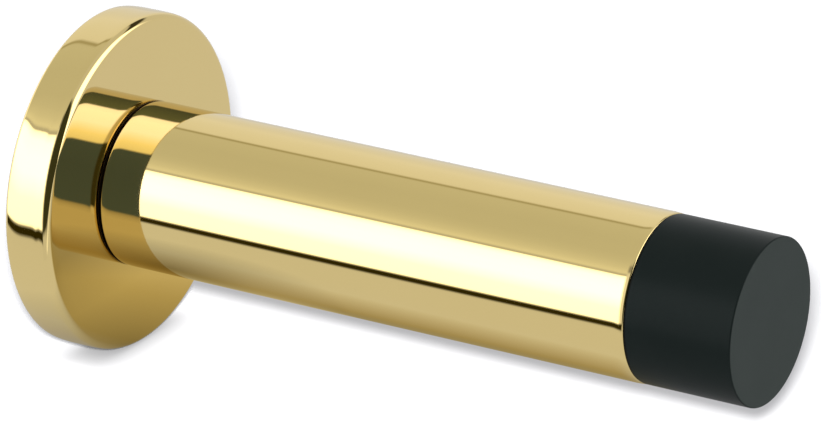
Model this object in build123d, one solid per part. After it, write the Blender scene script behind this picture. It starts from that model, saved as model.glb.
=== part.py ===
from build123d import *
from math import radians, tan
import os

# sizes in mm: the wall is the plane Y = 0, the stop stands out along -Y, Z is up

# bar
bar_diameter = 19.0
bar_length = 66.9
bar_mouth_chamfer = 0.2
bar_foot_chamfer = 0.3
foot_gap = 0.3
foot_gap_depth = 0.8
tapped_depth = 14.5
tapped_mouth_chamfer = 0.6
drill_point_angle = 118.0

# rose
rose_diameter = 38.9
rose_height = 5.85
rose_rim_wall = 1.7
rose_face_wall = 1.6
rose_front_round = 1.0
rose_back_chamfer = 0.4

# fixing plate and its wall screws
plate_thickness = 2.8
plate_gap = 0.25
screw_circle_diameter = 24.0
screw_count = 3
screw_hole_diameter = 4.4
screw_sink_diameter = 8.2
screw_sink_angle = 90.0

# stud riveted into the plate
stud_diameter = 8.0
stud_reach = 11.0
stud_tip_chamfer = 1.0
stud_hole_gap = 0.2
thread_gap = 0.05
collar_diameter = 13.0
rivet_diameter = 6.0
rivet_flare = 0.9
rivet_recess = 0.15
rivet_gap = 0.03

# buffer
buffer_length = 12.9
buffer_inset = 0.08
buffer_front_chamfer = 0.3
buffer_back_chamfer = 0.15
stem_diameter = 8.6
stem_length = 11.5
stem_tip_chamfer = 1.2
barb_count = 2
barb_height = 0.6
barb_length = 3.2
barb_pitch = 4.4
barb_setback = 1.8
barb_gap = 0.04
socket_spare_depth = 1.0
socket_mouth_chamfer = 0.5

# sizes that follow from those above
bar_radius = bar_diameter / 2
foot_radius = bar_radius - foot_gap_depth
rose_radius = rose_diameter / 2
rose_inner_radius = rose_radius - rose_rim_wall
plate_radius = rose_inner_radius - plate_gap
stud_radius = stud_diameter / 2
stud_hole_radius = stud_radius + stud_hole_gap
tapped_radius = stud_radius + thread_gap
rivet_radius = rivet_diameter / 2
rivet_hole_radius = rivet_radius + rivet_gap
buffer_radius = bar_radius - buffer_inset
stem_radius = stem_diameter / 2
barb_radius = stem_radius + barb_height
socket_radius = barb_radius + barb_gap

# places along the bar, from the wall outwards
plate_front = -plate_thickness
rose_front = -rose_height
rose_ceiling = rose_front + rose_face_wall
stud_tip = rose_front - stud_reach
bar_front = rose_front - bar_length
bar_shoulder = rose_front - foot_gap
buffer_front = bar_front - buffer_length
stem_tip = bar_front + stem_length
first_barb = bar_front + barb_setback


def turned(*outline):
    # solid of revolution about the bar's axis from (radius, place) corners
    with BuildPart() as piece:
        with BuildSketch():
            with BuildLine():
                Polyline(*outline, close=True)
            make_face()
        revolve(axis=Axis.Y)
    return piece.part


def drilled(radius, mouth, depth, inward):
    # blind hole that ends in the drill's own cone
    bottom = mouth + inward * depth
    cone = radius / tan(radians(drill_point_angle / 2))
    return turned(
        (0, mouth),
        (radius, mouth),
        (radius, bottom),
        (0, bottom + inward * cone),
    )


def rings(part, radius, place):
    # circular edges of a turned piece with this radius at this place along the bar
    circles = part.edges().filter_by(GeomType.CIRCLE)
    sized = circles.filter_by(lambda edge: abs(edge.radius - radius) < 1e-4)
    return sized.filter_by(lambda edge: abs(edge.arc_center.Y - place) < 1e-4)


def make_rose_cover():
    # hollow cup: the bar clamps its face against the stud's collar
    cover = turned(
        (stud_hole_radius, rose_front),
        (rose_radius, rose_front),
        (rose_radius, 0),
        (rose_inner_radius, 0),
        (rose_inner_radius, rose_ceiling),
        (stud_hole_radius, rose_ceiling),
    )
    cover = fillet(rings(cover, rose_radius, rose_front), rose_front_round)
    return chamfer(rings(cover, rose_radius, 0), rose_back_chamfer)


def make_fixing_plate():
    plate = turned(
        (rivet_hole_radius, plate_front),
        (plate_radius, plate_front),
        (plate_radius, 0),
        (rivet_hole_radius + rivet_flare, 0),
        (rivet_hole_radius, -rivet_flare),
    )
    front = Plane(origin=(0, plate_front, 0), x_dir=(1, 0, 0), z_dir=(0, -1, 0))
    with BuildPart() as drilled_plate:
        add(plate)
        with Locations(front):
            with PolarLocations(screw_circle_diameter / 2, screw_count, start_angle=90):
                CounterSinkHole(
                    radius=screw_hole_diameter / 2,
                    counter_sink_radius=screw_sink_diameter / 2,
                    counter_sink_angle=screw_sink_angle,
                    depth=plate_thickness,
                )
    return drilled_plate.part


def make_fixing_stud():
    # riveted tail, collar that carries the rose, plain length that stands for the thread
    collar_radius = collar_diameter / 2
    stud = turned(
        (0, -rivet_recess),
        (rivet_radius + rivet_flare - rivet_recess, -rivet_recess),
        (rivet_radius, -rivet_flare),
        (rivet_radius, plate_front),
        (collar_radius, plate_front),
        (collar_radius, rose_ceiling),
        (stud_radius, rose_ceiling),
        (stud_radius, stud_tip),
        (0, stud_tip),
    )
    return chamfer(rings(stud, stud_radius, stud_tip), stud_tip_chamfer)


def make_stop_bar():
    # the foot is relieved, so that a dark line parts the bar from the rose
    bar = turned(
        (0, rose_front),
        (foot_radius, rose_front),
        (foot_radius, bar_shoulder),
        (bar_radius, bar_shoulder),
        (bar_radius, bar_front),
        (0, bar_front),
    )
    bar = chamfer(rings(bar, bar_radius, bar_shoulder), bar_foot_chamfer)
    bar = chamfer(rings(bar, bar_radius, bar_front), bar_mouth_chamfer)
    bar = bar - drilled(tapped_radius, rose_front, tapped_depth, -1)
    bar = bar - drilled(socket_radius, bar_front, stem_length + socket_spare_depth, 1)
    bar = chamfer(rings(bar, tapped_radius, rose_front), tapped_mouth_chamfer)
    return chamfer(rings(bar, socket_radius, bar_front), socket_mouth_chamfer)


def make_buffer():
    # moulded head, and a stem whose barbs grip the wall of the bar's socket
    buffer = turned(
        (0, buffer_front),
        (buffer_radius, buffer_front),
        (buffer_radius, bar_front),
        (stem_radius, bar_front),
        (stem_radius, stem_tip),
        (0, stem_tip),
    )
    buffer = chamfer(rings(buffer, buffer_radius, buffer_front), buffer_front_chamfer)
    buffer = chamfer(rings(buffer, buffer_radius, bar_front), buffer_back_chamfer)
    buffer = chamfer(rings(buffer, stem_radius, stem_tip), stem_tip_chamfer)
    for number in range(barb_count):
        shoulder = first_barb + number * barb_pitch
        buffer = buffer + turned(
            (0, shoulder),
            (barb_radius, shoulder),
            (stem_radius, shoulder + barb_length),
            (0, shoulder + barb_length),
        )
    return buffer


os.makedirs("parts", exist_ok=True)
export_step(make_rose_cover(), "parts/rose_cover.step")
export_step(make_fixing_plate(), "parts/fixing_plate.step")
export_step(make_fixing_stud(), "parts/fixing_stud.step")
export_step(make_stop_bar(), "parts/stop_bar.step")
export_step(make_buffer(), "parts/buffer.step")
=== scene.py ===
import bpy
import bmesh
import math
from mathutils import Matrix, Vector


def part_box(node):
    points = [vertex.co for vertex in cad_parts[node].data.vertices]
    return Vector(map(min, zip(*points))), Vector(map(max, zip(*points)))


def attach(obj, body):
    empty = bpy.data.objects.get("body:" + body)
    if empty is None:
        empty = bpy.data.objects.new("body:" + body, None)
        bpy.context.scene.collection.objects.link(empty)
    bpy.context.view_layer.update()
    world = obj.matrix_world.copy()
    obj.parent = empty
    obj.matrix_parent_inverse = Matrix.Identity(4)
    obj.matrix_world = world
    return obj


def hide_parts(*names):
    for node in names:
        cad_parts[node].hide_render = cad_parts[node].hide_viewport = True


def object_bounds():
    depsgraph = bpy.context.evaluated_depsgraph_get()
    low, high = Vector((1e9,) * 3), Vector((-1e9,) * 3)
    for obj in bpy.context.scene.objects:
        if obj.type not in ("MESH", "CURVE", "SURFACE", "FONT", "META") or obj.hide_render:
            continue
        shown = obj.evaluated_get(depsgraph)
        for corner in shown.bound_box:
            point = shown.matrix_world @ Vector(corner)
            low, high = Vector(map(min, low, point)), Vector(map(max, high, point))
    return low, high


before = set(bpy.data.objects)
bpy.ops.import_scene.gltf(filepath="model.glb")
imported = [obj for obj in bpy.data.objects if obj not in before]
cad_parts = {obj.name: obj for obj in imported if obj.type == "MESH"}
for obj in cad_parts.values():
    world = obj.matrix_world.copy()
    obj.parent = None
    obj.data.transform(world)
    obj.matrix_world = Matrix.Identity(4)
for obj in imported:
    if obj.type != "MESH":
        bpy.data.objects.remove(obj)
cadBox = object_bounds()
scene = bpy.context.scene
scene.view_settings.view_transform = "Standard"
print("door stop: CAD nodes", sorted(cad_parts))


# shaping helpers, all of them work on the piece in edit mode

latheSettings = {
    "startPlane": 0.001,
    "pick": 2e-6,  # how near a corner has to be
    "doubles": 1e-7,  # on the profile
    "poles": 1e-6,  # and on the turned piece
    "smooth": math.radians(35),
}


def startProfile(name, spot):  # a plane merged to the one point that a lathe profile is pulled from
    bpy.ops.object.select_all(action="DESELECT")
    bpy.ops.mesh.primitive_plane_add(size=latheSettings["startPlane"])
    piece = bpy.context.object
    piece.name = name
    piece.data.name = name
    bpy.ops.object.mode_set(mode="EDIT")
    bpy.ops.mesh.select_all(action="SELECT")
    bpy.ops.mesh.merge(type="CENTER")
    bpy.ops.transform.translate(value=(spot[0], spot[1], 0))
    return piece


def pullTo(here, there):  # the next straight run of the profile
    step = (there[0] - here[0], there[1] - here[1], 0)
    bpy.ops.mesh.extrude_vertices_move(TRANSFORM_OT_translate={"value": step})


def pickPoint(piece, spot):  # only the profile's corner at this place
    mesh = bmesh.from_edit_mesh(piece.data)
    for vert in mesh.verts:
        vert.select_set(False)
    mesh.select_flush(False)
    for vert in mesh.verts:
        if (vert.co - Vector((spot[0], spot[1], 0))).length < latheSettings["pick"]:
            vert.select_set(True)
    bmesh.update_edit_mesh(piece.data)


def roundCorner(piece, spot, size, cuts):
    pickPoint(piece, spot)
    bpy.ops.mesh.bevel(offset=size, segments=cuts, affect="VERTICES")


def spinProfile(piece, steps):  # one full turn about the bar's axis
    bpy.ops.mesh.select_all(action="SELECT")
    bpy.ops.mesh.remove_doubles(threshold=latheSettings["doubles"])
    bpy.ops.mesh.spin(steps=steps, angle=math.tau, center=(0, 0, 0), axis=(0, 1, 0), use_auto_merge=True)
    bpy.ops.mesh.select_all(action="SELECT")
    bpy.ops.mesh.remove_doubles(threshold=latheSettings["poles"])
    bpy.ops.mesh.normals_make_consistent(inside=False)
    bpy.ops.object.mode_set(mode="OBJECT")
    bpy.ops.object.shade_smooth_by_angle(angle=latheSettings["smooth"])
    bpy.ops.object.modifier_add(type="WEIGHTED_NORMAL")  # flats stay flat beside their small rounds
    piece.modifiers[-1].keep_sharp = True
    bpy.ops.object.modifier_apply(modifier=piece.modifiers[-1].name)


def turnPiece(name, chain, rounds, steps):
    piece = startProfile(name, chain[0])
    for here, there in zip(chain, chain[1:]):
        pullTo(here, there)
    for spot, size, cuts in rounds:
        roundCorner(piece, spot, size, cuts)
    spinProfile(piece, steps)
    print("turned", name, len(piece.data.polygons), "faces")
    return piece


def buffed(roll, cuts=12):  # how a polished flat falls away before its edge, flat first
    points = []
    for i in range(cuts + 1):
        share = i / cuts
        left = roll["tail"] + roll["reach"] * (1 - share)
        drop = roll["slope"] * roll["reach"] * share ** 3 / 3
        points.append((left, drop))  # left to the edge, and down from the flat
    return points


def buffedDrop(roll):  # its drop at the edge itself
    return roll["slope"] * (roll["reach"] / 3 + roll["tail"])


# nodes for the finishes

def addNode(tree, kind, spot, **values):
    node = tree.nodes.new(kind)
    node.location = spot
    for key, value in values.items():
        if hasattr(node, key):
            setattr(node, key, value)
        else:
            node.inputs[key].default_value = value
    return node


def feed(tree, value, socket):  # another node's output, or a plain number or colour
    if isinstance(value, bpy.types.NodeSocket):
        tree.links.new(value, socket)
    else:
        socket.default_value = value


def combine(tree, operation, spot, *values):
    node = addNode(tree, "ShaderNodeMath", spot, operation=operation)
    for value, socket in zip(values, node.inputs):
        feed(tree, value, socket)
    return node.outputs[0]


def blend(tree, spot, share, first, second, kind="RGBA"):  # first where share is 0, second where it is 1
    mix = addNode(tree, "ShaderNodeMix", spot, data_type=kind)
    for key, value in (("Factor", share), ("A", first), ("B", second)):
        feed(tree, value, mix.inputs[key])
    return mix.outputs["Result"]


def mixShaders(tree, spot, share, first, second):
    mix = addNode(tree, "ShaderNodeMixShader", spot)
    for value, socket in zip((share, first.outputs[0], second.outputs[0]), mix.inputs):
        tree.links.new(value, socket)
    return mix


def fitRange(tree, value, spot, start, end, low=0.0, high=1.0):  # start and end become low and high
    span = addNode(tree, "ShaderNodeMapRange", spot, clamp=True)
    for key, limit in (("From Min", start), ("From Max", end), ("To Min", low), ("To Max", high)):
        span.inputs[key].default_value = limit
    tree.links.new(value, span.inputs["Value"])
    return span.outputs["Result"]


def addRanges(tree, value, spot, runs):  # several ranges of one value, added up
    total, *others = [fitRange(tree, value, spot, *run) for run in runs]
    for part in others:
        total = combine(tree, "ADD", spot, total, part)
    return total


def splitPlace(tree, place, spot):
    split = addNode(tree, "ShaderNodeSeparateXYZ", spot)
    tree.links.new(place, split.inputs["Vector"])
    return split.outputs


def noise(tree, place, spot, scale, detail):
    node = addNode(tree, "ShaderNodeTexNoise", spot, Scale=scale, Detail=detail)
    tree.links.new(place, node.inputs["Vector"])
    return node.outputs["Fac"]


def roughen(tree, shader, height, spot, strength, depth):  # fine marks in the surface
    bump = addNode(tree, "ShaderNodeBump", spot, Strength=strength, Distance=depth)
    tree.links.new(height, bump.inputs["Height"])
    tree.links.new(bump.outputs["Normal"], shader.inputs["Normal"])


def emptyFinish(name):
    finish = bpy.data.materials.new(name)
    finish.use_nodes = True
    finish.node_tree.nodes.clear()
    return finish, finish.node_tree


def startFinish(name):
    finish, tree = emptyFinish(name)
    out = addNode(tree, "ShaderNodeOutputMaterial", (600, 0))
    shader = addNode(tree, "ShaderNodeBsdfPrincipled", (300, 0))
    tree.links.new(shader.outputs["BSDF"], out.inputs["Surface"])
    coords = addNode(tree, "ShaderNodeTexCoord", (-1100, 0))
    return finish, tree, shader, coords.outputs["Object"]


brassLook = {
    "dark": (0.855, 0.668, 0.292, 1),
    "light": (0.895, 0.712, 0.322, 1),
    "clouds": (45.0, 3.0),  # scale and detail, as for every noise below
    "cloudRange": (0.3, 0.7),
    "rough": (0.028, 0.05),
    "hairlines": (5200.0, 2.0),
    "hairStretch": (0.02, 1.0, 0.02),  # marks run round the turned pieces
    "hairDepth": (0.012, 0.00002),  # strength and depth of the bump, as below
    "gapShade": (0.07, 0.038, 0.016, 1),  # painted shade, near black in the gap at the bar's foot
    "gapShadeRough": 0.6,
    "gapShadeReach": (0.00955, 0.0093),
    "gapShadeEdge": (0.00002, 0.00001),
}


def polishedBrass(gapFront, gapBack):
    look = brassLook
    finish, tree, shader, place = startFinish("polishedBrass")
    link = tree.links.new
    clouds = noise(tree, place, (-800, 200), *look["clouds"])
    tint = blend(tree, (-200, 250), clouds, look["dark"], look["light"])
    sheen = fitRange(tree, clouds, (-200, -50), *look["cloudRange"], *look["rough"])
    flat = addNode(tree, "ShaderNodeVectorMath", (-900, 800), operation="MULTIPLY")
    flat.inputs[1].default_value = (1, 0, 1)
    link(place, flat.inputs[0])
    fromAxis = addNode(tree, "ShaderNodeVectorMath", (-700, 800), operation="LENGTH")
    link(flat.outputs[0], fromAxis.inputs[0])
    # painted shade: the brass inside the gap at the bar's foot is coloured near black and made rough
    under = fitRange(tree, fromAxis.outputs["Value"], (-500, 800), *look["gapShadeReach"])
    along = splitPlace(tree, place, (-900, 600))["Y"]
    none, full = look["gapShadeEdge"]
    behind = fitRange(tree, along, (-500, 600), gapFront - none, gapFront - full)
    before = fitRange(tree, along, (-500, 400), gapBack + none, gapBack + full)
    between = combine(tree, "MULTIPLY", (-300, 600), behind, before)
    inGap = combine(tree, "MULTIPLY", (-150, 700), under, between)
    link(blend(tree, (50, 350), inGap, tint, look["gapShade"]), shader.inputs["Base Color"])
    link(blend(tree, (50, 50), inGap, sheen, look["gapShadeRough"], "FLOAT"), shader.inputs["Roughness"])
    stretch = addNode(tree, "ShaderNodeMapping", (-900, -300), Scale=look["hairStretch"])
    link(place, stretch.inputs["Vector"])
    hair = noise(tree, stretch.outputs["Vector"], (-650, -300), *look["hairlines"])
    roughen(tree, shader, hair, (50, -300), *look["hairDepth"])
    shader.inputs["Metallic"].default_value = 1.0
    return finish


rubberLook = {
    "side": (0.0074, 0.0124, 0.0118, 1),
    "sideDusty": (0.0110, 0.0160, 0.0152, 1),
    "end": (0.053, 0.063, 0.060, 1),
    "endPatchy": (0.046, 0.056, 0.053, 1),
    "endEdge": (0.00006, 0.00001),  # behind the end face, from the side's look to the end's
    "patches": (160.0, 4.0),
    "rough": (0.34, 0.80),
    "shine": 0.06,
    "jointShadow": (0.0022, 0.0024, 0.0018, 1),  # painted shadow where it meets the bar
    "jointShadowReach": [(-0.00032, -0.00018), (0.00002, 0.00006, 0, -1)],
    "grain": (2600.0, 3.0),
    "grainDepth": (0.10, 0.00004),
}


def blackRubber(endFace, barEnd):  # glossy moulded side and matte end face, the end face lighter in colour
    look = rubberLook
    finish, tree, shader, place = startFinish("blackRubber")
    link = tree.links.new
    along = splitPlace(tree, place, (-800, 300))["Y"]
    none, full = look["endEdge"]
    onEnd = fitRange(tree, along, (-550, 300), endFace + none, endFace + full)
    patches = noise(tree, place, (-800, 50), *look["patches"])
    side = blend(tree, (-250, 150), patches, look["side"], look["sideDusty"])
    end = blend(tree, (-250, -50), patches, look["end"], look["endPatchy"])
    tint = blend(tree, (-50, 100), onEnd, side, end)
    # painted shadow: the rubber is coloured darker in a thin band next to the bar
    fromBar = combine(tree, "SUBTRACT", (-550, 500), along, barEnd)
    atBar = addRanges(tree, fromBar, (-300, 500), look["jointShadowReach"])
    link(blend(tree, (120, 150), atBar, tint, look["jointShadow"]), shader.inputs["Base Color"])
    link(fitRange(tree, onEnd, (0, -120), 0.0, 1.0, *look["rough"]), shader.inputs["Roughness"])
    grain = noise(tree, place, (-800, -350), *look["grain"])
    roughen(tree, shader, grain, (0, -350), *look["grainDepth"])
    shader.inputs["Specular IOR Level"].default_value = look["shine"]
    return finish


zincLook = {
    "cold": (0.56, 0.585, 0.61, 1),
    "warm": (0.64, 0.63, 0.60, 1),
    "spangle": 700.0,
    "haze": (140.0, 4.0),
    "hazeDepth": (0.08, 0.00003),
    "rough": (0.26, 0.42),
}


def platedSteel():
    look = zincLook
    finish, tree, shader, place = startFinish("platedSteel")
    link = tree.links.new
    spangle = addNode(tree, "ShaderNodeTexVoronoi", (-600, 200), Scale=look["spangle"])
    link(place, spangle.inputs["Vector"])
    haze = noise(tree, place, (-600, -100), *look["haze"])
    link(blend(tree, (0, 200), haze, look["cold"], look["warm"]), shader.inputs["Base Color"])
    dull = fitRange(tree, spangle.outputs["Color"], (0, -50), 0.0, 1.0, *look["rough"])
    link(dull, shader.inputs["Roughness"])
    roughen(tree, shader, haze, (0, -300), *look["hazeDepth"])
    shader.inputs["Metallic"].default_value = 1.0
    return finish


def seatPiece(piece, finish, node):
    piece.data.materials.clear()
    piece.data.materials.append(finish)
    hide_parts(node)
    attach(piece, "root")


# rose: hollow turned cup, open to the wall, its face and rim buffed soft towards their edges

roseSettings = {
    "rimWall": 0.0017,
    "faceWall": 0.0016,
    "studHole": 0.0042,
    "face": {"reach": 0.0016, "slope": 0.05, "tail": 0.00088},
    "rimFront": {"reach": 0.0014, "slope": 0.10, "tail": 0.00088},
    "rimBack": {"reach": 0.0019, "slope": 0.15, "tail": 0.00042},
    "frontRound": (0.00086, 16),  # size and cuts, as for every round below
    "backRound": (0.0004, 8),
    "steps": 288,
}


def makeRose(finish):
    s = roseSettings
    low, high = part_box("rose_cover")
    radius, front, back = high.x, low.y, high.y
    ceiling = front + s["faceWall"]
    inside = radius - s["rimWall"]
    faceEdge = (radius - buffedDrop(s["rimFront"]), front + buffedDrop(s["face"]))
    rimEdge = (radius - buffedDrop(s["rimBack"]), back)
    chain = [(s["studHole"], front)]
    chain += [(radius - left, front + drop) for left, drop in buffed(s["face"])] + [faceEdge]
    chain += [(radius - drop, front + left) for left, drop in reversed(buffed(s["rimFront"]))]
    chain += [(radius - drop, back - left) for left, drop in buffed(s["rimBack"])] + [rimEdge]
    chain += [(inside, back), (inside, ceiling), (s["studHole"], ceiling), (s["studHole"], front)]
    rounds = [(faceEdge, *s["frontRound"]), (rimEdge, *s["backRound"])]
    rose = turnPiece("roseCover", chain, rounds, s["steps"])
    seatPiece(rose, finish, "rose_cover")


# bar: one diameter from the rose to the buffer, tapped at its foot and drilled for the buffer's stem

barSettings = {
    "footGap": (0.00026, 0.0008),  # height and depth
    "foot": {"reach": 0.0012, "slope": 0.13, "tail": 0.00034},
    "footRound": (0.0003, 6),
    "mouth": {"reach": 0.0012, "slope": 0.14, "tail": 0.00016},
    "mouthRound": (0.00012, 5),
    "tapped": (0.00405, 0.0145, 0.0006),  # radius, depth and countersink
    "socket": (0.00494, 0.0125, 0.0005),
    "drillPoint": math.radians(59),
    "steps": 288,
}


def makeBar(finish):
    s = barSettings
    low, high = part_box("stop_bar")
    radius, foot, mouth = high.x, high.y, low.y
    shoulder, seat = foot - s["footGap"][0], radius - s["footGap"][1]
    tapRadius, tapDepth, tapMouth = s["tapped"]
    holeRadius, holeDepth, holeMouth = s["socket"]
    footEdge = (radius - buffedDrop(s["foot"]), shoulder)
    mouthEdge = (radius - buffedDrop(s["mouth"]), mouth)
    chain = [(0, foot - tapDepth - tapRadius / math.tan(s["drillPoint"])), (tapRadius, foot - tapDepth)]
    chain += [(tapRadius, foot - tapMouth), (tapRadius + tapMouth, foot)]
    chain += [(seat, foot), (seat, shoulder), footEdge]
    chain += [(radius - drop, shoulder - left) for left, drop in reversed(buffed(s["foot"]))]
    chain += [(radius - drop, mouth + left) for left, drop in buffed(s["mouth"])] + [mouthEdge]
    chain += [(holeRadius + holeMouth, mouth), (holeRadius, mouth + holeMouth)]
    chain += [(holeRadius, mouth + holeDepth)]
    chain += [(0, mouth + holeDepth + holeRadius / math.tan(s["drillPoint"]))]
    rounds = [(footEdge, *s["footRound"]), (mouthEdge, *s["mouthRound"])]
    bar = turnPiece("stopBar", chain, rounds, s["steps"])
    seatPiece(bar, finish, "stop_bar")


# buffer: rubber head, and a barbed stem in the bar's socket

bufferSettings = {
    "frontRound": (0.0002, 5),
    "backRound": (0.0002, 4),
    "stem": (0.0043, 0.0115),  # radius and length
    "stemTip": (0.0012, 1),
    "barbs": (2, 0.0006, 0.0032, 0.0044, 0.0018),  # count, height, length, pitch and start
    "steps": 240,
}


def makeBuffer():
    s = bufferSettings
    low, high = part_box("buffer")
    radius, front = high.x, low.y
    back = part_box("stop_bar")[0].y
    stemRadius, stemLength = s["stem"]
    barbCount, barbHeight, barbLength, barbPitch, barbStart = s["barbs"]
    faceEdge, backEdge, tip = (radius, front), (radius, back), (stemRadius, back + stemLength)
    chain = [(0, front), faceEdge, backEdge, (stemRadius, back)]
    for i in range(barbCount):
        shoulder = back + barbStart + i * barbPitch
        chain += [(stemRadius, shoulder), (stemRadius + barbHeight, shoulder)]
        chain += [(stemRadius, shoulder + barbLength)]
    chain += [tip, (0, back + stemLength)]
    rounds = [(faceEdge, *s["frontRound"]), (backEdge, *s["backRound"]), (tip, *s["stemTip"])]
    buffer = turnPiece("rubberBuffer", chain, rounds, s["steps"])
    seatPiece(buffer, blackRubber(front, back), "buffer")


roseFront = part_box("rose_cover")[0].y
brass = polishedBrass(roseFront - barSettings["footGap"][0], roseFront)
makeRose(brass)
makeBar(brass)
makeBuffer()
zinc = platedSteel()
for node in ("fixing_plate", "fixing_stud"):  # hidden fixings keep their CAD shapes
    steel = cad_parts[node]
    steel.data.materials.clear()
    steel.data.materials.append(zinc)
print("pieces dressed")


# studio: a pale tent that only mirrors see, the bar and the rose's rim mirror its wallSide,
# and the rose's front edge its edgeSide and farFront
# each panel has its stops, degrees round the bar (0 away from the camera, 90 overhead) and a brightness

studioSettings = {
    "wallSide": {
        "farCurtain": [(-25, 0.72), (20, 0.80), (30, 0.85), (55, 0.82), (60, 0.80)],
        "curtainSeam": [(61.9, 0.43), (64.0, 0.43)],
        "roof": [(65.3, 0.63), (90, 0.60), (110, 0.61), (119, 0.65), (127, 0.73), (133.4, 0.86)],
        "softboxFrame": [(135.7, 0.53), (137.1, 0.53)],
        "softbox": [(138.3, 2.1), (144, 2.8), (155, 3.0), (166, 3.0), (175, 2.6), (182, 2.2), (199.6, 2.1)],
        "tableEdge": [(201.8, 0.03), (207.6, 0.03)],
        "tableFront": [(210.0, 0.68), (220, 0.69), (334, 0.69)],
    },
    "mouthSide": {
        "farCurtain": [(-25, 0.72), (20, 0.80), (30, 0.85), (57, 0.80)],
        "roof": [(64, 0.63), (90, 0.60), (118, 0.63), (122, 0.58)],
        "softboxFrame": [(125, 0.30), (131, 0.30)],
        "softbox": [(134, 0.80), (150, 0.95), (197, 0.90)],
        "tableEdge": [(200, 0.03), (206, 0.03)],
        "tableFront": [(209, 0.66), (334, 0.69)],
    },
    "frontSide": {
        "farCurtain": [(-25, 0.68), (-5, 0.60), (17.5, 0.60)],
        "doorway": [(20.5, 0.10), (32, 0.13), (52, 0.18)],
        "topLight": [(54.5, 1.7), (64, 1.85), (85, 1.75)],
        "topGlow": [(103, 1.35), (114, 1.15)],
        "darkRoom": [(116.5, 0.12), (150, 0.11), (199, 0.12), (202, 0.12)],
        "tableFront": [(204.5, 0.40), (209, 0.54), (216, 0.59), (334, 0.60)],
    },
    "edgeSide": {
        "farCurtain": [(-25, 0.69), (29, 0.66)],
        "opening": [(33, 0.05), (44, 0.05)],
        "plainWall": [(47, 0.64), (112, 0.64)],
        "blackCloth": [(116, 0.045), (198.5, 0.045)],
        "tableFront": [(203, 0.66), (334, 0.69)],
    },
    "farFront": {
        "farCurtain": [(-25, 0.69), (10, 0.7)],
        "frontLight": [(25, 2.2), (60, 2.6), (108, 2.4)],
        "blackCloth": [(116, 0.045), (200, 0.045)],
        "tableFront": [(208, 0.6), (236, 2.0), (292, 2.0), (325, 0.72), (334, 0.69)],
    },
    "tints": {
        "curtainSeam": (1.0, 0.94, 0.68),
        "roof": (1.0, 1.0, 0.90),
        "tableEdge": (1.0, 0.78, 0.06),
        "doorway": (0.75, 1.0, 1.1),
        "darkRoom": (0.62, 1.0, 1.8),
        "topLight": (0.9, 1.0, 1.9),
        "topGlow": (0.95, 1.0, 1.05),
        "opening": (1.0, 0.9, 0.6),
        "blackCloth": (0.95, 1.0, 0.5),
    },
    "wall": (1.3, 0.76, 0.90),  # behind the stop, in the rim's back edge
    "ahead": (-0.46, -0.60),  # where farFront takes over from edgeSide
    "turn": (0.04, 0.16),  # and edgeSide from wallSide
    "neck": (-0.37, -0.43),  # frontSide shows only here, in what the bar and the rose mirror in each other
    "mouth": (0.34, 0.26),  # mouthSide shows only here, in the buffed end of the bar
    "lean": [  # the edges of the wallSide panels lean: degrees by the angle, and how far along the bar
        (
            [(60, 136, -74, 0), (136, 204, 0, -35)],
            [(0.440, 0.490, -0.033, 0.017), (0.498, 0.524, 0, -0.017)],
        ),
        (
            [(105, 136, 0, 60), (150, 190, 0, -60)],
            [(0.505, 0.80, 0, 0.295)],
        ),
    ],
    "secondBounce": (1.0, 2.0),  # glossy depth, from a mirror to a mirror in a mirror
    "seam": -25,  # where the ramps start and end
    "brightest": 4.0,
    "plain": 1.0,  # what lights everything that isn't a mirror
}


def panelRamp(tree, panels, spot):
    s = studioSettings
    ramp = addNode(tree, "ShaderNodeValToRGB", spot)
    band = ramp.color_ramp
    stops = []
    for name, run in panels.items():
        tint = s["tints"].get(name, (1, 1, 1))
        for angle, level in run:
            colour = [part * level / s["brightest"] for part in tint] + [1]
            stops.append(((angle - s["seam"]) / 360, colour))
    while len(band.elements) < len(stops):
        band.elements.new(0.5)
    for element, (position, colour) in zip(band.elements, stops):
        element.position = position
        element.color = colour
    return ramp


def roundTheBar(tree, angle):  # an angle as the share of a full turn that the ramps take
    past = combine(tree, "SUBTRACT", (-820, 100), angle, math.radians(studioSettings["seam"]))
    wrapped = combine(tree, "WRAP", (-640, 100), past, math.tau, 0.0)
    return combine(tree, "DIVIDE", (-460, 100), wrapped, math.tau)


def leanOver(tree, angle, along):  # edges of the wallSide panels that aren't parallel to the bar
    turned = combine(tree, "WRAP", (-1000, 500), angle, math.tau, 0.0)
    leaned = turned
    for rates, spans in studioSettings["lean"]:
        turns = [[math.radians(value) for value in run] for run in rates]
        rate = addRanges(tree, turned, (-820, 500), turns)
        far = addRanges(tree, along, (-820, 700), spans)
        leaned = combine(tree, "MULTIPLY_ADD", (-460, 500), rate, far, leaned)
    return leaned


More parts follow.
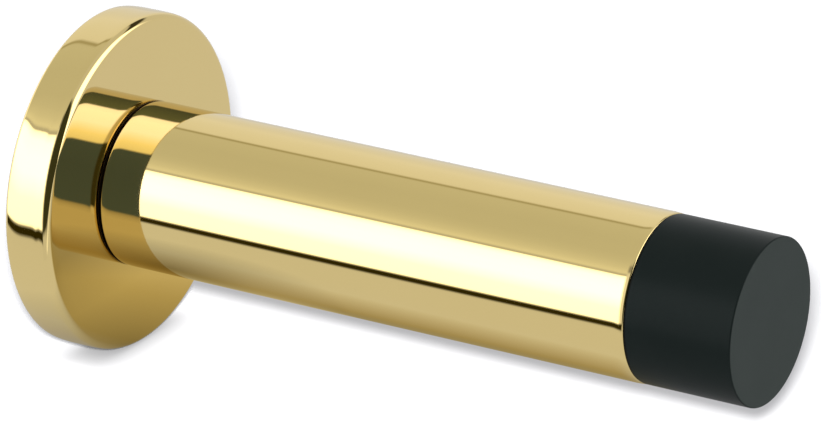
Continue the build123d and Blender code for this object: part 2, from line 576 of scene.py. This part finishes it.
def makeStudio():
    s = studioSettings
    world = bpy.data.worlds.new("studioTent")
    scene.world = world
    world.use_nodes = True
    tree = world.node_tree
    tree.nodes.clear()
    link = tree.links.new
    coords = addNode(tree, "ShaderNodeTexCoord", (-1400, 0))
    toward = splitPlace(tree, coords.outputs["Generated"], (-1200, 0))
    along = toward["Y"]
    angle = combine(tree, "ARCTAN2", (-1000, 100), toward["Z"], toward["X"])
    straight = roundTheBar(tree, angle)
    leaning = roundTheBar(tree, leanOver(tree, angle, along))
    panels = {}
    for i, name in enumerate(("wallSide", "mouthSide", "frontSide", "edgeSide", "farFront")):
        ramp = panelRamp(tree, s[name], (-240, 500 - 250 * i))
        link(leaning if name == "wallSide" else straight, ramp.inputs["Fac"])
        panels[name] = ramp.outputs["Color"]
    atMouth = fitRange(tree, along, (-460, 700), *s["mouth"])
    atTurn = fitRange(tree, along, (-460, 300), *s["turn"])
    farAhead = fitRange(tree, along, (-460, -500), *s["ahead"])
    atNeck = fitRange(tree, along, (-460, -900), *s["neck"])
    rays = addNode(tree, "ShaderNodeLightPath", (-640, -400))
    twice = fitRange(tree, rays.outputs["Glossy Depth"], (-460, -300), *s["secondBounce"])
    inNeck = combine(tree, "MULTIPLY", (-240, -900), twice, atNeck)
    edge = blend(tree, (60, -500), farAhead, panels["edgeSide"], panels["farFront"])
    front = blend(tree, (220, -300), inNeck, edge, panels["frontSide"])
    back = blend(tree, (60, 400), atMouth, panels["wallSide"], panels["mouthSide"])
    tent = blend(tree, (380, 100), atTurn, front, back)
    level, start, full = s["wall"]
    atWall = fitRange(tree, along, (380, -100), start, full)
    allRound = blend(tree, (540, 100), atWall, tent, [level / s["brightest"]] * 3 + [1])
    mirrored = addNode(tree, "ShaderNodeBackground", (700, 150), Strength=s["brightest"])
    link(allRound, mirrored.inputs["Color"])
    plain = addNode(tree, "ShaderNodeBackground", (700, -50), Color=(1, 1, 1, 1), Strength=s["plain"])
    seen = mixShaders(tree, (880, 100), rays.outputs["Is Glossy Ray"], plain, mirrored)
    out = addNode(tree, "ShaderNodeOutputWorld", (1060, 100))
    link(seen.outputs[0], out.inputs["Surface"])


floorSettings = {
    "drop": 0.0001,
    "size": 4.0,
    "pale": (0.12, 0.12, 0.121),
    "lift": 0.40,  # its own light, which only the camera sees
    "liftTint": (0.99, 0.99, 1.03, 1),
    "contactShadow": (0.0024, 0.38),  # reach of the painted contact shadow under the part, and what is left of the light there
    "mirrorPale": (0.69, 0.69, 0.69, 1),  # the floor as the brass shows it
    "bounceGold": (0.58, 0.485, 0.25, 1),  # painted bounce light, where the bar throws its own light down
    "bounceFrom": (-0.014, -0.001),
    "bounceTo": (0.060, 0.012),
    "bounceBack": (0.010, 0.003),
    "bounceFront": (-0.071, -0.064),  # and none under the rubber
    "nearRose": (0.0, 0.0215, 0.40, 1.0),  # shade by the distance from the rose's foot
    "roseFoot": (-0.003, 0.9),  # place of its shade across the bar, and the squeeze along it
    "underBar": [(-0.0135, 0.003, 1.0, 0.60), (0.019, 0.032, 0, 0.40)],  # shade across the bar
    "underBarFrom": (-0.017, -0.028),  # and where along the bar it comes in
    "secondMirror": 0.87,  # how much of it is left where the bar and the rose mirror each other
    "edge": -0.040,  # where it ends for the brass
    "lamp": {"up": 0.028, "left": 0.008, "radius": 0.020, "power": 465.0},  # from just over the camera
}


def mirroredFloor(tree, across, along, place, level):  # colour and strength of the floor in the brass, with painted shade and painted bounce light
    s = floorSettings
    link = tree.links.new
    # painted bounce light: the floor turns gold in the brass near and under the bar
    warm = fitRange(tree, across, (-700, 500), *s["bounceFrom"])
    for value, key in ((across, "bounceTo"), (along, "bounceBack"), (along, "bounceFront")):
        warm = combine(tree, "MULTIPLY", (-500, 500), warm, fitRange(tree, value, (-700, 400), *s[key]))
    left, squeeze = s["roseFoot"]
    squeezed = addNode(tree, "ShaderNodeVectorMath", (-900, 700), operation="MULTIPLY")
    squeezed.inputs[1].default_value = (1, squeeze, 1)
    link(place, squeezed.inputs[0])
    away = addNode(tree, "ShaderNodeVectorMath", (-700, 700), operation="DISTANCE")
    away.inputs[1].default_value = (left, roseFront * squeeze, level)
    link(squeezed.outputs[0], away.inputs[0])
    shade = fitRange(tree, away.outputs["Value"], (-500, 700), *s["nearRose"])
    fromRose = fitRange(tree, along, (-500, 1100), *s["underBarFrom"])
    barShade = addRanges(tree, across, (-500, 1000), s["underBar"])
    under = blend(tree, (-300, 1000), fromRose, 1.0, barShade, "FLOAT")
    depth = addNode(tree, "ShaderNodeLightPath", (-700, 900)).outputs["Glossy Depth"]
    twice = fitRange(tree, depth, (-500, 900), *studioSettings["secondBounce"], 1.0, s["secondMirror"])
    strength = combine(tree, "MULTIPLY", (-300, 800), shade, twice)
    glow = addNode(tree, "ShaderNodeEmission", (-100, 500))
    link(blend(tree, (-300, 500), warm, s["mirrorPale"], s["bounceGold"]), glow.inputs["Color"])
    link(combine(tree, "MULTIPLY", (-100, 800), strength, under), glow.inputs["Strength"])
    return glow


def floorFinish(level):
    s = floorSettings
    finish, tree = emptyFinish("paleFloor")
    link = tree.links.new
    rays = addNode(tree, "ShaderNodeLightPath", (-600, 0))
    # painted contact shadow: the floor's colour and its own light are darkened near the part
    reach, darkest = s["contactShadow"]
    contactShadow = addNode(tree, "ShaderNodeAmbientOcclusion", (-1000, -150), Distance=reach)
    under = fitRange(tree, contactShadow.outputs["AO"], (-800, -150), 0.0, 1.0, darkest, 1.0)
    darker = addNode(tree, "ShaderNodeVectorMath", (-400, 150), operation="SCALE")
    darker.inputs[0].default_value = s["pale"]
    link(under, darker.inputs["Scale"])
    matte = addNode(tree, "ShaderNodeBsdfDiffuse", (0, 100))
    link(darker.outputs[0], matte.inputs["Color"])
    lift = combine(tree, "MULTIPLY", (-400, -50), rays.outputs["Is Camera Ray"], s["lift"])
    white = addNode(tree, "ShaderNodeEmission", (0, -50), Color=s["liftTint"])
    link(combine(tree, "MULTIPLY", (-200, -50), lift, under), white.inputs["Strength"])
    lit = addNode(tree, "ShaderNodeAddShader", (200, 50))
    link(matte.outputs[0], lit.inputs[0])
    link(white.outputs[0], lit.inputs[1])
    place = addNode(tree, "ShaderNodeNewGeometry", (-1100, 400)).outputs["Position"]
    split = splitPlace(tree, place, (-900, 500))
    glow = mirroredFloor(tree, split["X"], split["Y"], place, level)
    past = combine(tree, "LESS_THAN", (-100, 300), split["X"], s["edge"])
    clear = addNode(tree, "ShaderNodeBsdfTransparent", (0, 250))
    table = mixShaders(tree, (200, 300), past, glow, clear)
    shown = mixShaders(tree, (400, 100), rays.outputs["Is Glossy Ray"], lit, table)
    out = addNode(tree, "ShaderNodeOutputMaterial", (600, 100))
    link(shown.outputs[0], out.inputs["Surface"])
    return finish


def makeFloor():
    s = floorSettings
    level = cadBox[0].z - s["drop"]
    bpy.ops.object.select_all(action="DESELECT")
    bpy.ops.mesh.primitive_plane_add(size=s["size"], location=(0, 0, level))
    floor = bpy.context.object
    floor.name = "paleFloor"
    bpy.ops.object.transform_apply(location=True)
    floor.data.materials.append(floorFinish(level))
    return floor


# camera: long lens, a little above the bar and off its buffer end

cameraSettings = {
    "azimuth": -59.498,
    "elevation": 21.991,
    "target": (0, -0.04785, 0),
    "distance": 0.65988,
    "shift": (-0.005963, 0.004689),
    "lens": 263.36,
    "sensor": 36,
    "clipStart": 0.01,
}


def makeCamera():
    s = cameraSettings
    turn, tilt = math.radians(s["azimuth"]), math.radians(s["elevation"])
    back = Vector((math.sin(turn) * math.cos(tilt), -math.cos(turn) * math.cos(tilt), math.sin(tilt)))
    right = Vector((math.cos(turn), math.sin(turn), 0))
    up = back.cross(right)
    spot = Vector(s["target"]) + back * s["distance"] + right * s["shift"][0] + up * s["shift"][1]
    bpy.ops.object.camera_add(location=spot, rotation=(-back).to_track_quat("-Z", "Y").to_euler())
    camera = bpy.context.object
    camera.name = "photoCamera"
    camera.data.sensor_width = s["sensor"]
    camera.data.sensor_fit = "HORIZONTAL"
    camera.data.lens = s["lens"]
    camera.data.clip_start = s["clipStart"]
    scene.camera = camera
    return spot, right, up


def makeFloorLight(floor, spot, right, up):  # on the floor alone, for the thin shadow along the lower edges
    s = floorSettings["lamp"]
    bpy.ops.object.light_add(type="POINT", location=spot + up * s["up"] - right * s["left"])
    lamp = bpy.context.object
    lamp.name = "floorLight"
    lamp.data.energy = s["power"]
    lamp.data.shadow_soft_size = s["radius"]
    lamp.data.use_nodes = True
    tree = lamp.data.node_tree
    even = addNode(tree, "ShaderNodeLightFalloff", (-300, 0), Strength=1.0)  # as bright near as far
    tree.links.new(even.outputs["Constant"], tree.nodes["Emission"].inputs["Strength"])
    onlyFloor = bpy.data.collections.new("floorOnly")
    onlyFloor.objects.link(floor)
    lamp.light_linking.receiver_collection = onlyFloor


makeStudio()
floor = makeFloor()
makeFloorLight(floor, *makeCamera())
print("studio, floor and camera ready")
